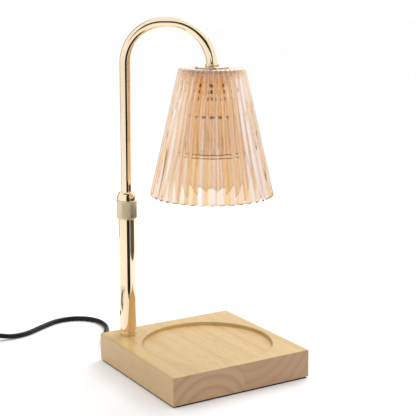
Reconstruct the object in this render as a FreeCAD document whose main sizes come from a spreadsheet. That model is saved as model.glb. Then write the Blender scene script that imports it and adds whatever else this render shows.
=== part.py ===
import FreeCAD, Part
import math
import os
import re
import Sketcher

os.makedirs("parts", exist_ok=True)
doc = FreeCAD.newDocument("candle_warmer_lamp")
V = FreeCAD.Vector

# Driving sizes, in millimetres and degrees
sizes = doc.addObject("Spreadsheet::Sheet", "sizes")
DRIVING_SIZES = [
    ("board_side", 130.0), ("board_thick", 23.0), ("corner_radius", 3.0), ("edge_radius", 1.0),
    ("recess_margin", 9.6), ("recess_depth", 3.0), ("recess_x", 2.6), ("recess_y", -3.8),
    ("pad_thick", 1.5), ("pad_inset", 2.5), ("flat_gap", 0.2), ("fit_gap", 0.05),
    ("post_inset_x", 19.7), ("post_inset_y", 15.5), ("post_radius", 7.1), ("post_wall", 1.0),
    ("foot_height", 4.0), ("foot_neck", 12.0), ("foot_groove", 0.5), ("post_length", 115.3),
    ("nipple_radius", 5.0), ("nipple_bore", 2.6), ("nut_pocket_radius", 12.0),
    ("nut_pocket_depth", 14.0), ("nut_flats", 14.0), ("nut_thick", 5.0), ("washer_thick", 1.2),
    ("channel_width", 7.0), ("channel_depth", 7.0), ("cord_radius", 2.25), ("lead_radius", 1.6),
    ("grommet_flange", 1.5), ("grommet_length", 22.0), ("grommet_barrel", 5.0),
    ("ring_radius", 8.65), ("ring_height", 16.2), ("ring_chamfer", 1.0),
    ("collet_height", 7.0), ("collet_top_radius", 6.0), ("collet_sleeve", 10.0),
    ("collet_slot", 0.8), ("arm_radius", 4.5), ("arm_wall", 0.7), ("arm_hidden", 35.8),
    ("arch_rise", 107.9), ("arch_radius", 35.0), ("arm_reach", 75.5), ("arm_angle", -47.1),
    ("bush_height", 8.0), ("end_ring_radius", 5.7), ("end_ring_height", 2.2),
    ("washer_disc_radius", 14.0), ("washer_disc_thick", 1.2), ("shade_height", 105.2),
    ("shade_top_radius", 27.4), ("shade_rim_radius", 51.8), ("shade_wall", 3.0),
    ("shade_round", 1.6), ("flute_depth", 1.3), ("flute_count", 40.0), ("shade_hole", 5.5),
    ("rod_radius", 3.7), ("rod_bore", 2.6), ("rod_above", 2.4), ("gasket_thick", 1.0),
    ("gasket_radius", 16.0), ("cap_radius", 21.0), ("cap_height", 7.5), ("cap_wall", 1.0),
    ("cup_top_radius", 19.6), ("cup_mouth_radius", 15.8), ("cup_height", 33.0), ("cup_wall", 0.9),
    ("vent_radius", 1.6), ("vent_count", 12.0), ("rod_nut_flats", 12.0), ("rod_nut_thick", 3.6),
    ("strap_thick", 1.2), ("strap_width", 10.0), ("socket_radius", 11.5), ("socket_height", 11.0),
    ("socket_drop", 7.5), ("socket_lip", 2.0), ("screw_radius", 1.5), ("screw_head", 2.7),
    ("bulb_radius", 25.0), ("bulb_length", 47.0), ("bulb_neck", 9.0), ("bulb_wall", 1.0),
    ("bulb_base_height", 9.0), ("bulb_rim", 3.0), ("lens_thick", 1.6), ("pin_spacing", 10.0),
    ("pin_radius", 1.4), ("pin_head", 2.3), ("pin_length", 7.0), ("pin_head_height", 2.6),
    ("twist_angle", 25.0), ("capsule_radius", 5.0), ("capsule_length", 20.0),
    ("dimmer_length", 56.0), ("dimmer_width", 27.0), ("dimmer_case_height", 8.0),
    ("dimmer_lid_height", 9.0), ("dimmer_corner", 9.0), ("sleeve_length", 9.0),
    ("dial_radius", 9.5), ("dial_height", 3.6), ("dial_shaft", 2.2), ("dimmer_x", -176.0),
    ("dimmer_y", 160.5), ("coil_x", -202.0), ("coil_y", 104.0), ("coil_radius", 27.0),
    ("coil_pitch", 5.06), ("coil_turns", 8.0), ("tie_width", 9.0), ("tie_thick", 1.2),
    ("plug_length", 25.0), ("plug_width", 22.0), ("plug_height", 14.0), ("plug_sleeve", 16.0),
    ("blade_length", 17.0), ("blade_width", 6.3), ("blade_thick", 1.5), ("blade_spacing", 12.7),
]
for row, (name, amount) in enumerate(DRIVING_SIZES, start=1):
    sizes.set("A%d" % row, name)
    sizes.set("B%d" % row, str(amount))
    sizes.setAlias("B%d" % row, name)

# Places and sizes that follow from the driving ones
TIED_SIZES = [
    ("post_x", "post_inset_x - board_side / 2"), ("post_y", "board_side / 2 - post_inset_y"),
    ("recess_radius", "board_side / 2 - recess_margin"),
]
for row, (name, words) in enumerate(TIED_SIZES, start=len(DRIVING_SIZES) + 1):
    sizes.set("A%d" % row, name)
    sizes.set("B%d" % row, "=" + words)
    sizes.setAlias("B%d" % row, name)
doc.recompute()

NAMES = sorted((name for name, amount in DRIVING_SIZES + TIED_SIZES), key=len, reverse=True)
FIND_NAMES = re.compile(r"\b(" + "|".join(NAMES) + r")\b")
parts = []


def linked(words):
    """The expression with each size named in its sheet."""
    return FIND_NAMES.sub(r"sizes.\1", words)


def size(words):
    """The value of an expression in the sheet's sizes."""
    return float(sizes.evalExpression(words))


def bind(thing, path, words):
    thing.setExpression(path, linked(words))


def keep(thing, label):
    """Names a finished sub-part and lists it for export."""
    thing.Label = label
    parts.append(thing)
    return thing


def place(thing, x="0", y="0", z="0", turn=None, axis=None):
    """Binds a sub-part's place to the sheet; turn is an angle about axis."""
    if axis:
        thing.Placement = FreeCAD.Placement(V(0, 0, 0), FreeCAD.Rotation(V(*axis), size(turn)))
        bind(thing, "Placement.Rotation.Angle", turn)
    for letter, words in (("x", x), ("y", y), ("z", z)):
        bind(thing, "Placement.Base." + letter, words)
    return thing


def plane_of(body, role):
    return [plane for plane in body.Origin.OriginFeatures if plane.Role == role][0]


def new_sketch(body, role, name, lift="0"):
    """A sketch on one of the body's own origin planes, moved along the plane's normal."""
    sketch = body.newObject("Sketcher::SketchObject", name)
    sketch.AttachmentSupport = [(plane_of(body, role), "")]
    sketch.MapMode = "FlatFace"
    bind(sketch, "AttachmentOffset.Base.z", lift)
    return sketch


def fix_point(sketch, edge, end, x, y):
    """Holds an end of an edge at x and y, given as expressions."""
    for kind, words, axis in (("DistanceX", x, -2), ("DistanceY", y, -1)):
        if words == "0":
            sketch.addConstraint(Sketcher.Constraint("PointOnObject", edge, end, axis))
            continue
        held = sketch.addConstraint(Sketcher.Constraint(kind, -1, 1, edge, end, size(words)))
        bind(sketch, "Constraints[%d]" % held, words)


def polygon(sketch, points):
    """A closed outline through points, each a pair of expressions."""
    spots = [V(size(x), size(y), 0) for x, y in points]
    first = sketch.GeometryCount
    for here, there in zip(spots, spots[1:] + spots[:1]):
        sketch.addGeometry(Part.LineSegment(here, there), False)
    for index, (x, y) in enumerate(points):
        before = first + (index - 1) % len(points)
        sketch.addConstraint(Sketcher.Constraint("Coincident", before, 2, first + index, 1))
        fix_point(sketch, first + index, 1, x, y)
    return sketch


def circle(sketch, x, y, radius):
    ring = sketch.addGeometry(Part.Circle(V(size(x), size(y), 0), V(0, 0, 1), size(radius)), False)
    fix_point(sketch, ring, 3, x, y)
    held = sketch.addConstraint(Sketcher.Constraint("Radius", ring, size(radius)))
    bind(sketch, "Constraints[%d]" % held, radius)
    return ring


def new_body(label):
    return doc.addObject("PartDesign::Body", label)


def pad(body, sketch, length):
    feature = body.newObject("PartDesign::Pad", sketch.Name + "_pad")
    feature.Profile = sketch
    bind(feature, "Length", length)
    doc.recompute()
    return feature


def pocket(body, sketch, length, upward=False):
    """Cuts a sketch into the solid and makes sure that it cut something."""
    before = body.Shape.Volume
    feature = body.newObject("PartDesign::Pocket", sketch.Name + "_cut")
    feature.Profile = sketch
    feature.Reversed = upward
    bind(feature, "Length", length)
    doc.recompute()
    assert body.Shape.Volume < before - 0.01, feature.Name + " cuts nothing"
    return feature


def turned(label, points, role="XZ_Plane"):
    """A piece turned on a lathe: a closed outline of radius and height, spun round the axis."""
    body = new_body(label)
    sketch = polygon(new_sketch(body, role, label + "_outline"), points)
    spin = body.newObject("PartDesign::Revolution", label + "_spin")
    spin.Profile = sketch
    spin.ReferenceAxis = (sketch, ["V_Axis"])
    spin.Angle = 360.0
    doc.recompute()
    return keep(body, label)


def tube_outline(outer, inner, low, high):
    return [(inner, low), (outer, low), (outer, high), (inner, high)]


def round_edges(body, label, radius, wanted):
    """Fillets the edges of the body's last feature that wanted picks."""
    tip = body.Tip
    picked = ["Edge%d" % n for n, edge in enumerate(tip.Shape.Edges, start=1) if wanted(edge)]
    assert picked, label + " finds no edge"
    fillet = body.newObject("PartDesign::Fillet", label)
    fillet.Base = (tip, picked)
    bind(fillet, "Radius", radius)
    doc.recompute()
    return fillet


def upright(edge):
    ends = [vertex.Point for vertex in edge.Vertexes]
    return len(ends) == 2 and math.hypot(ends[0].x - ends[1].x, ends[0].y - ends[1].y) < 0.001


def at_height(edge, height):
    return all(abs(vertex.Point.z - height) < 0.001 for vertex in edge.Vertexes)


def feature_of(label, shape, x=0.0, y=0.0, z=0.0, turn=0.0):
    """A sub-part whose shape is worked out here, set at its place afterwards."""
    thing = doc.addObject("Part::Feature", label)
    thing.Shape = shape
    thing.Placement = FreeCAD.Placement(V(x, y, z), FreeCAD.Rotation(V(0, 0, 1), turn))
    return keep(thing, label)


# Heights that several pieces share, as expressions
BOARD_TOP = "(pad_thick + board_thick)"
POST_BASE = "(pad_thick + board_thick + foot_height)"
POST_TOP = "(%s + post_length)" % POST_BASE
COLLET_BASE = "(%s + flat_gap)" % POST_TOP
POST_BORE = "(post_radius - post_wall)"
CHANNEL_AXIS = "(pad_thick + channel_depth / 2)"
ARM_BASE = "(%s - arm_hidden)" % POST_TOP
ARCH_CENTRE = "(%s + collet_height + arch_rise)" % COLLET_BASE
SHADE_TOP = "(%s - washer_disc_thick)" % ARCH_CENTRE
CEILING = "(%s - shade_wall)" % SHADE_TOP
CAP_TOP = "(%s - gasket_thick)" % CEILING
CUP_TOP = "(%s - cap_wall)" % CAP_TOP
STRAP_TOP = "(%s - cup_wall)" % CUP_TOP
NUT_TOP = "(%s - strap_thick)" % STRAP_TOP
SOCKET_BASE = "(%s - socket_drop - socket_height)" % STRAP_TOP
BULB_BACK = "(%s - flat_gap)" % SOCKET_BASE
BULB_FRONT = "(%s - bulb_length)" % BULB_BACK
SHADE_X = "(post_x + arm_reach * cos(arm_angle * 1deg))"
SHADE_Y = "(post_y + arm_reach * sin(arm_angle * 1deg))"
HALF_SIDE = "(board_side / 2)"
STRAP_LAP = "(socket_height * 0.7)"
SCREW_LIFT = "(socket_height * 0.83)"


def square(half):
    return [("-" + half, "-" + half), (half, "-" + half), (half, half), ("-" + half, half)]


def base_board():
    """Two boards glued edge to edge, with the candle's recess and the post's hole and pocket."""
    body = new_body("base_board")
    pad(body, polygon(new_sketch(body, "XY_Plane", "board_outline"), square(HALF_SIDE)), "board_thick")
    round_edges(body, "board_corners", "corner_radius", upright)
    round_edges(body, "board_edges", "edge_radius", lambda e: at_height(e, size("board_thick")))
    dish = new_sketch(body, "XY_Plane", "recess", "board_thick")
    circle(dish, "recess_x", "recess_y", "recess_radius")
    pocket(body, dish, "recess_depth")
    hole = new_sketch(body, "XY_Plane", "post_hole", "board_thick")
    circle(hole, "post_x", "post_y", "nipple_radius + fit_gap")
    pocket(body, hole, "board_thick")
    nut_space = new_sketch(body, "XY_Plane", "nut_space")
    circle(nut_space, "post_x", "post_y", "nut_pocket_radius")
    pocket(body, nut_space, "nut_pocket_depth", upward=True)
    channel = new_sketch(body, "XY_Plane", "channel")
    left = "post_x - channel_width / 2"
    right = "post_x + channel_width / 2"
    far = HALF_SIDE + " + 1"
    polygon(channel, [(left, "post_y"), (right, "post_y"), (right, far), (left, far)])
    pocket(body, channel, "channel_depth", upward=True)
    place(body, z="pad_thick")
    return keep(body, "base_board")


def base_pad():
    """The thin foam sheet under the board that also closes the wire channel."""
    body = new_body("base_pad")
    outline = new_sketch(body, "XY_Plane", "pad_outline")
    pad(body, polygon(outline, square("(board_side / 2 - pad_inset)")), "pad_thick")
    round_edges(body, "pad_corners", "corner_radius", upright)
    return keep(body, "base_pad")


def hexagon_nut(label, flats, bore, thick):
    outer = doc.addObject("Part::Prism", label + "_hexagon")
    outer.Polygon = 6
    bind(outer, "Circumradius", "%s / sqrt(3)" % flats)
    bind(outer, "Height", thick)
    hole = doc.addObject("Part::Cylinder", label + "_bore")
    bind(hole, "Radius", bore)
    bind(hole, "Height", thick)
    nut = doc.addObject("Part::Cut", label)
    nut.Base = outer
    nut.Tool = hole
    return keep(nut, label)


def post():
    """The fixed post: foot ring, tube, and the hollow threaded rod that clamps it to the board."""
    where = {"x": "post_x", "y": "post_y"}
    bore = "nipple_radius + fit_gap"
    neck = POST_BORE + " - fit_gap"
    foot = turned("foot_ring", [
        (bore, "0"), ("post_radius", "0"), ("post_radius", "foot_height - foot_groove"),
        ("post_radius - foot_groove", "foot_height"), (neck, "foot_height"),
        (neck, "foot_height + foot_neck"), (bore, "foot_height + foot_neck")])
    place(foot, z=BOARD_TOP, **where)
    tube = turned("lower_tube", tube_outline("post_radius", POST_BORE, "0", "post_length"))
    place(tube, z=POST_BASE, **where)
    pocket_roof = "(pad_thick + nut_pocket_depth)"
    below = "(washer_thick + nut_thick + 0.5)"
    rod_length = "(board_thick - nut_pocket_depth + %s + foot_height + foot_neck)" % below
    rod = turned("post_nipple", tube_outline("nipple_radius", "nipple_bore", "0", rod_length))
    place(rod, z=pocket_roof + " - " + below, **where)
    disc = turned("post_washer", tube_outline("nut_pocket_radius - 1.5", bore, "0", "washer_thick"))
    place(disc, z=pocket_roof + " - washer_thick", **where)
    nut = hexagon_nut("post_nut", "nut_flats", bore, "nut_thick")
    place(nut, z=pocket_roof + " - washer_thick - nut_thick", **where)


def lock_ring():
    """The knurled ring that is turned to grip the sliding arm."""
    bore = "post_radius + fit_gap"
    ring = turned("lock_ring", [
        (bore, "0"), ("ring_radius - ring_chamfer", "0"), ("ring_radius", "ring_chamfer"),
        ("ring_radius", "ring_height"), (bore, "ring_height")])
    place(ring, "post_x", "post_y", POST_TOP + " - ring_height")


def collet():
    """The split sleeve that guides the arm, with the polished dome that stands on the tube."""
    bore = "arm_radius + fit_gap"
    sleeve = POST_BORE + " - fit_gap"
    body = turned("collet", [
        (bore, "0"), (sleeve, "0"), (sleeve, "collet_sleeve + flat_gap"),
        ("ring_radius - 0.5", "collet_sleeve + flat_gap"),
        ("ring_radius - 0.5", "collet_sleeve + flat_gap + collet_height * 0.12"),
        ("ring_radius * 0.86", "collet_sleeve + flat_gap + collet_height * 0.55"),
        ("ring_radius * 0.76", "collet_sleeve + flat_gap + collet_height * 0.85"),
        ("collet_top_radius", "collet_sleeve + flat_gap + collet_height"),
        (bore, "collet_sleeve + flat_gap + collet_height")])
    slot = new_sketch(body, "XY_Plane", "collet_slot_outline")
    half = "(collet_slot / 2)"
    polygon(slot, [("arm_radius - 0.5", "-" + half), ("post_radius", "-" + half),
                   ("post_radius", half), ("arm_radius - 0.5", half)])
    cut = pocket(body, slot, "collet_sleeve - 2", upward=True)
    ring = body.newObject("PartDesign::PolarPattern", "collet_slots")
    ring.Originals = [cut]
    ring.Axis = (slot, ["N_Axis"])
    ring.Angle = 360.0
    ring.Occurrences = 4
    body.Tip = ring
    doc.recompute()
    place(body, "post_x", "post_y", COLLET_BASE + " - flat_gap - collet_sleeve")


def arm_tube():
    """The sliding tube, bent over at its top into an arch with its end pointing down."""
    body = new_body("arm_tube")
    spine = new_sketch(body, "XZ_Plane", "arm_path")
    rise = "(%s - %s)" % (ARCH_CENTRE, ARM_BASE)
    r, z, reach = size("arch_radius"), size(rise), size("arm_reach")
    far = reach - r
    add = spine.addGeometry
    add(Part.LineSegment(V(0, 0, 0), V(0, z, 0)), False)
    add(Part.ArcOfCircle(Part.Circle(V(r, z, 0), V(0, 0, 1), r), math.pi / 2, math.pi), False)
    add(Part.LineSegment(V(r, z + r, 0), V(far, z + r, 0)), False)
    add(Part.ArcOfCircle(Part.Circle(V(far, z, 0), V(0, 0, 1), r), 0, math.pi / 2), False)
    hold = spine.addConstraint
    hold(Sketcher.Constraint("Coincident", 0, 1, -1, 1))
    hold(Sketcher.Constraint("Vertical", 0))
    hold(Sketcher.Constraint("Tangent", 0, 2, 1, 2))
    hold(Sketcher.Constraint("Tangent", 1, 1, 2, 1))
    hold(Sketcher.Constraint("Horizontal", 2))
    hold(Sketcher.Constraint("Tangent", 2, 2, 3, 2))
    hold(Sketcher.Constraint("Horizontal", 3, 3, 3, 1))
    fix_point(spine, 3, 1, "arm_reach", rise)
    held = hold(Sketcher.Constraint("Radius", 1, r))
    bind(spine, "Constraints[%d]" % held, "arch_radius")
    section = new_sketch(body, "XY_Plane", "arm_section")
    circle(section, "0", "0", "arm_radius")
    circle(section, "0", "0", "arm_radius - arm_wall")
    doc.recompute()
    pipe = body.newObject("PartDesign::AdditivePipe", "arm_pipe")
    pipe.Profile = section
    pipe.Spine = spine
    doc.recompute()
    place(body, "post_x", "post_y", ARM_BASE, "arm_angle", (0, 0, 1))
    return keep(body, "arm_tube")


def guide_bush():
    """The bush on the arm's lower end, which runs in the lower tube and stops the arm pulling out."""
    bush = turned("guide_bush", tube_outline(
        POST_BORE + " - fit_gap", "arm_radius + fit_gap", "0", "bush_height"))
    place(bush, "post_x", "post_y", ARM_BASE)


def fluted_wire(radius, depth, count, height):
    """A ring of outward arcs, one for each flute, through valleys at radius less depth."""
    step = 2 * math.pi / count
    edges = []
    for n in range(count):
        spots = []
        for share, reach in ((0.0, radius - depth), (0.5, radius), (1.0, radius - depth)):
            angle = (n + share) * step
            spots.append(V(reach * math.cos(angle), reach * math.sin(angle), height))
        edges.append(Part.Arc(*spots).toShape())
    return Part.Wire(edges)


def glass_shade():
    """The pressed glass cone: round flutes outside, smooth inside, a closed flat top with a hole."""
    high, top, rim = size("shade_height"), size("shade_top_radius"), size("shade_rim_radius")
    wall, rounding, depth = size("shade_wall"), size("shade_round"), size("flute_depth")
    count = int(round(size("flute_count")))
    slope = (rim - top) / high
    shoulder = top + slope * rounding
    outer = Part.makeLoft([fluted_wire(rim, depth, count, 0.0),
                           fluted_wire(shoulder, depth * shoulder / rim, count, high - rounding)], True, True)
    crown = Part.makeLoft([fluted_wire(shoulder, depth * shoulder / rim, count, high - rounding),
                           fluted_wire(shoulder - rounding * 0.3, depth * 0.3, count, high - rounding * 0.35),
                           fluted_wire(top - rounding, 0.05, count, high)], True, True)
    inner_rim = rim - depth - wall
    inner_top = inner_rim - slope * (high - wall)
    hollow = Part.makeCone(inner_rim, inner_top, high - wall)
    hole = Part.makeCylinder(size("shade_hole"), high, V(0, 0, 1))
    shape = outer.fuse(crown).removeSplitter().cut(hollow).cut(hole)
    place_at = (size(SHADE_X), size(SHADE_Y), size(SHADE_TOP) - high)
    return feature_of("glass_shade", shape, *place_at)


def shade_fittings():
    """What clamps the glass: ring and disc above it, gasket and stepped cap below, on one rod."""
    where = {"x": SHADE_X, "y": SHADE_Y}
    bore = "rod_radius + fit_gap"
    end_ring = turned("arm_end_ring", [
        ("arm_radius + fit_gap * 2", "0"), ("end_ring_radius", "0"),
        ("end_ring_radius", "end_ring_height * 0.7"), ("end_ring_radius - 0.6", "end_ring_height"),
        ("arm_radius + fit_gap * 2", "end_ring_height")])
    place(end_ring, z=ARCH_CENTRE, **where)
    disc = turned("shade_washer", [
        (bore, "0"), ("washer_disc_radius", "0"), ("washer_disc_radius", "washer_disc_thick * 0.6"),
        ("washer_disc_radius - 0.6", "washer_disc_thick"), (bore, "washer_disc_thick")])
    place(disc, z=SHADE_TOP, **where)
    rod_below = "(%s - %s + rod_nut_thick + 0.6)" % (ARCH_CENTRE, NUT_TOP)
    rod_high = "(%s + rod_above)" % rod_below
    rod = turned("shade_rod", tube_outline("rod_radius", "rod_bore", "0", rod_high))
    place(rod, z="%s - %s" % (ARCH_CENTRE, rod_below), **where)
    gasket = turned("shade_gasket", tube_outline("gasket_radius", bore, "0", "gasket_thick"))
    place(gasket, z=CAP_TOP, **where)
    cap = turned("clamp_cap", [
        (bore, "cap_height - cap_wall"), ("cap_radius - cap_wall", "cap_height - cap_wall"),
        ("cap_radius - cap_wall", "0"), ("cap_radius + cap_wall", "0"),
        ("cap_radius + cap_wall", "cap_wall"), ("cap_radius", "cap_wall * 1.6"),
        ("cap_radius", "cap_height - cap_wall / 2"), ("cap_radius - cap_wall / 2", "cap_height"),
        (bore, "cap_height")])
    place(cap, z=CAP_TOP + " - cap_height", **where)
    nut = hexagon_nut("rod_nut", "rod_nut_flats", bore, "rod_nut_thick")
    place(nut, z=NUT_TOP + " - rod_nut_thick", **where)


def holder_cup():
    """The drawn metal cup round the lamp holder, pierced with three rows of vent holes."""
    bore = "rod_radius + fit_gap"
    body = turned("holder_cup", [
        (bore, "cup_height - cup_wall"), ("cup_top_radius - 2.5", "cup_height - cup_wall"),
        ("cup_top_radius - cup_wall - 0.3", "cup_height - 3.2"), ("cup_mouth_radius - cup_wall", "0"),
        ("cup_mouth_radius", "0"), ("cup_top_radius - 0.3", "cup_height - 3"),
        ("cup_top_radius - 2", "cup_height"), (bore, "cup_height")])
    place(body, SHADE_X, SHADE_Y, CUP_TOP + " - cup_height")
    rows = (("upper", 0.75), ("middle", 0.6), ("lower", 0.43))
    for name, share in rows:
        hole = new_sketch(body, "XZ_Plane", "vent_" + name)
        circle(hole, "0", "cup_height * %.2f" % share, "vent_radius")
        cut = body.newObject("PartDesign::Pocket", "vent_%s_cut" % name)
        cut.Profile = hole
        bind(cut, "Length", "cup_top_radius * 2")
        before = body.Shape.Volume
        doc.recompute()
        assert body.Shape.Volume < before - 0.1, name + " vents cut nothing"
        ring = body.newObject("PartDesign::PolarPattern", "vents_" + name)
        ring.Originals = [cut]
        ring.Axis = (body.Group[0], ["V_Axis"])
        ring.Angle = 360.0
        bind(ring, "Occurrences", "vent_count")
        body.Tip = ring
        doc.recompute()
    return body


def socket_strap():
    """The bent strap under the cup's roof that carries the lamp holder between its legs."""
    body = new_body("socket_strap")
    outline = new_sketch(body, "XZ_Plane", "strap_outline", "-strap_width / 2")
    leg = "(socket_radius + flat_gap)"
    outside = "(%s + strap_thick)" % leg
    top = "(socket_drop + %s)" % STRAP_LAP
    polygon(outline, [("-" + outside, "0"), ("-" + leg, "0"), ("-" + leg, top + " - strap_thick"),
                      (leg, top + " - strap_thick"), (leg, "0"), (outside, "0"), (outside, top),
                      ("-" + outside, top)])
    pad(body, outline, "strap_width")
    hole = new_sketch(body, "XY_Plane", "strap_hole")
    circle(hole, "0", "0", "rod_radius + fit_gap")
    pocket(body, hole, top, upward=True)
    screw_hole = new_sketch(body, "YZ_Plane", "strap_screw_holes", "-%s - 1" % outside)
    circle(screw_hole, "0", "%s - socket_height + %s" % (SCREW_LIFT, STRAP_LAP), "screw_radius + fit_gap")
    pocket(body, screw_hole, "2 * %s + 2" % outside, upward=True)
    place(body, SHADE_X, SHADE_Y, STRAP_TOP + " - " + top)
    return keep(body, "socket_strap")


def arc_slot(radius, reach, turn, low, high):
    """A slot along an arc about the axis, with round ends, from angle 0 to turn."""
    def spot(distance, angle):
        bearing = math.radians(angle)
        return V(distance * math.cos(bearing), distance * math.sin(bearing), low)
    outside, inside = reach + radius, reach - radius
    forward = spot(1, turn + 90) - V(0, 0, low)
    wire = Part.Wire([
        Part.Arc(spot(outside, 0), spot(outside, turn / 2), spot(outside, turn)).toShape(),
        Part.Arc(spot(outside, turn), spot(reach, turn) + forward * radius, spot(inside, turn)).toShape(),
        Part.Arc(spot(inside, turn), spot(inside, turn / 2), spot(inside, 0)).toShape(),
        Part.Arc(spot(inside, 0), V(reach, -radius, low), spot(outside, 0)).toShape()])
    return Part.Face(wire).extrude(V(0, 0, high - low))


def lamp_socket():
    """The ceramic twist-lock holder: keyhole slots in its lip, wider tracks above them."""
    high, lip = size("socket_height"), size("socket_lip")
    gap, head, shank = size("flat_gap"), size("pin_head"), size("pin_radius")
    reach, twist = size("pin_spacing / 2"), size("twist_angle")
    track_top = size("pin_length") + gap
    body = Part.makeCylinder(size("socket_radius"), high)
    for side in (0, 180):
        slot = arc_slot(shank + gap, reach, twist, -1, lip + 1)
        mouth = Part.makeCylinder(head + gap * 1.5, track_top + 1, V(reach, 0, -1))
        mouth.rotate(V(0, 0, 0), V(0, 0, 1), twist)
        track = arc_slot(head + gap, reach, twist, lip, track_top)
        tool = slot.fuse([mouth, track])
        tool.rotate(V(0, 0, 0), V(0, 0, 1), side)
        body = body.cut(tool)
    depth, half = size("socket_radius") * 0.25, size("socket_radius")
    for sign in (-1, 1):
        start = V(sign * half, 0, size(SCREW_LIFT))
        body = body.cut(Part.makeCylinder(size("screw_radius"), depth, start, V(-sign, 0, 0)))
    return feature_of("lamp_socket", body, size(SHADE_X), size(SHADE_Y), size(SOCKET_BASE))


def socket_screws():
    """Two pan-head screws through the strap's legs into the lamp holder."""
    depth = "(socket_radius * 0.2)"
    for name, turn in (("socket_screw_near", -90), ("socket_screw_far", 90)):
        shank = "(%s + flat_gap + strap_thick)" % depth
        screw = turned(name, [("0", "0"), ("screw_radius", "0"), ("screw_radius", shank),
                              ("screw_head", shank), ("screw_head", shank + " + 0.8"),
                              ("screw_head * 0.6", shank + " + 1.4"), ("0", shank + " + 1.4")])
        side = 1 if turn > 0 else -1
        screw.Placement = FreeCAD.Placement(V(0, 0, 0), FreeCAD.Rotation(V(0, 1, 0), turn))
        bind(screw, "Placement.Base.x", "%s + %d * (socket_radius - %s)" % (SHADE_X, side, depth))
        bind(screw, "Placement.Base.y", SHADE_Y)
        bind(screw, "Placement.Base.z", "%s + %s" % (SOCKET_BASE, SCREW_LIFT))


def bulb():
    """The reflector bulb: glass cone, front lens, ceramic back with two headed pins, capsule."""
    where = {"x": SHADE_X, "y": SHADE_Y}
    flare_high = "(bulb_length - bulb_base_height)"
    outer = [("bulb_radius", "0"), ("bulb_radius", "bulb_rim"), ("bulb_radius * 0.93", "bulb_rim + 3"),
             ("bulb_radius * 0.82", "bulb_rim + 11"), ("bulb_radius * 0.66", "bulb_rim + 19"),
             ("bulb_radius * 0.5", "bulb_rim + 26"), ("bulb_neck", flare_high)]
    inner = [("%s - bulb_wall" % r, z) for r, z in reversed(outer[1:])]
    inner.append(("bulb_radius - bulb_wall", "0"))
    place(turned("bulb_reflector", outer + inner), z=BULB_FRONT, **where)
    lens = turned("bulb_lens", [("0", "0"), ("bulb_radius - bulb_wall - fit_gap", "0"),
                                ("bulb_radius - bulb_wall - fit_gap", "lens_thick"), ("0", "lens_thick")])
    place(lens, z=BULB_FRONT + " + 0.4", **where)
    back = turned("bulb_base", [
        ("0", "0"), ("bulb_neck - bulb_wall", "0"), ("bulb_neck", "0.6"),
        ("bulb_neck", "bulb_base_height - 1"), ("bulb_neck - 1", "bulb_base_height"),
        ("0", "bulb_base_height")])
    place(back, z=BULB_BACK + " - bulb_base_height", **where)
    capsule = turned("bulb_capsule", [
        ("0", "0"), ("capsule_radius * 0.6", "1"), ("capsule_radius", "4"),
        ("capsule_radius", "capsule_length - 3"), ("capsule_radius * 0.7", "capsule_length"),
        ("0", "capsule_length")])
    place(capsule, z="%s - bulb_base_height - capsule_length" % BULB_BACK, **where)
    for name, side in (("bulb_pin_right", 1), ("bulb_pin_left", -1)):
        pin = turned(name, [("0", "0"), ("pin_radius", "0"), ("pin_radius", "pin_length - pin_head_height"),
                            ("pin_head", "pin_length - pin_head_height"), ("pin_head", "pin_length - 0.4"),
                            ("pin_head - 0.4", "pin_length"), ("0", "pin_length")])
        place(pin, "%s + %d * pin_spacing / 2" % (SHADE_X, side), SHADE_Y, BULB_BACK)


def cord_grommet():
    """The moulded strain relief: a barrel in the channel, a flange and a tapered tail."""
    tail = "(grommet_length - grommet_flange)"
    face = "grommet_barrel"
    body = turned("cord_grommet", [
        ("0", "0"), ("channel_width / 2 - flat_gap", "0"), ("channel_width / 2 - flat_gap", face),
        ("channel_width / 2 + 1.2", face), ("channel_width / 2 + 1.2", face + " + grommet_flange"),
        ("channel_width / 2", face + " + grommet_flange + 0.4"),
        ("cord_radius + 0.6", face + " + grommet_length"), ("0", face + " + grommet_length")])
    place(body, "post_x", "%s - grommet_barrel" % HALF_SIDE, CHANNEL_AXIS, "-90", (1, 0, 0))


def tangent_arc(start, heading, end):
    """The arc that leaves start along heading and passes through end."""
    chord = end - start
    along = V(chord).normalize()
    across = heading - along * heading.dot(along)
    if across.Length < 1e-7:
        return Part.LineSegment(start, end).toShape()
    bend = math.atan2(across.Length, heading.dot(along))
    middle = start + chord * 0.5 + across.normalize() * (math.tan(bend / 2) * chord.Length / 2)
    return Part.Arc(start, middle, end).toShape()


def route_edges(points):
    """Straight runs between the points, joined by arcs as large as the runs allow."""
    edges, radii, here = [], [], points[0]
    for before, corner, after in zip(points, points[1:], points[2:]):
        into, away = corner - before, after - corner
        cut = 0.45 * min(into.Length, away.Length)
        into.normalize()
        away.normalize()
        radii.append(cut / math.tan(into.getAngle(away) / 2))
        start, end = corner - into * cut, corner + away * cut
        edges.append(Part.LineSegment(here, start).toShape())
        edges.append(tangent_arc(start, into, end))
        here = end
    edges.append(Part.LineSegment(here, points[-1]).toShape())
    return edges, radii


def swept(edges, radius, sides=8):
    """A tube of flat sides along the edges; its volume is set against section times length."""
    start = edges[0].valueAt(edges[0].FirstParameter)
    heading = edges[0].tangentAt(edges[0].FirstParameter)
    side = heading.cross(V(0, 0, 1)).normalize() if abs(heading.z) < 0.9 else V(1, 0, 0)
    up = side.cross(heading)
    half = math.pi / sides
    ring = []
    for n in range(sides + 1):
        angle = half + 2 * half * n
        ring.append(start + side * (radius * math.cos(angle)) + up * (radius * math.sin(angle)))
    wire = Part.Wire(edges)
    tube = wire.makePipeShell([Part.makePolygon(ring)], True, False)
    section = sides / 2 * radius ** 2 * math.sin(2 * half)
    assert abs(tube.Volume - section * wire.Length) < 0.01 * tube.Volume, "the tube's volume is off"
    return tube


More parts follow.
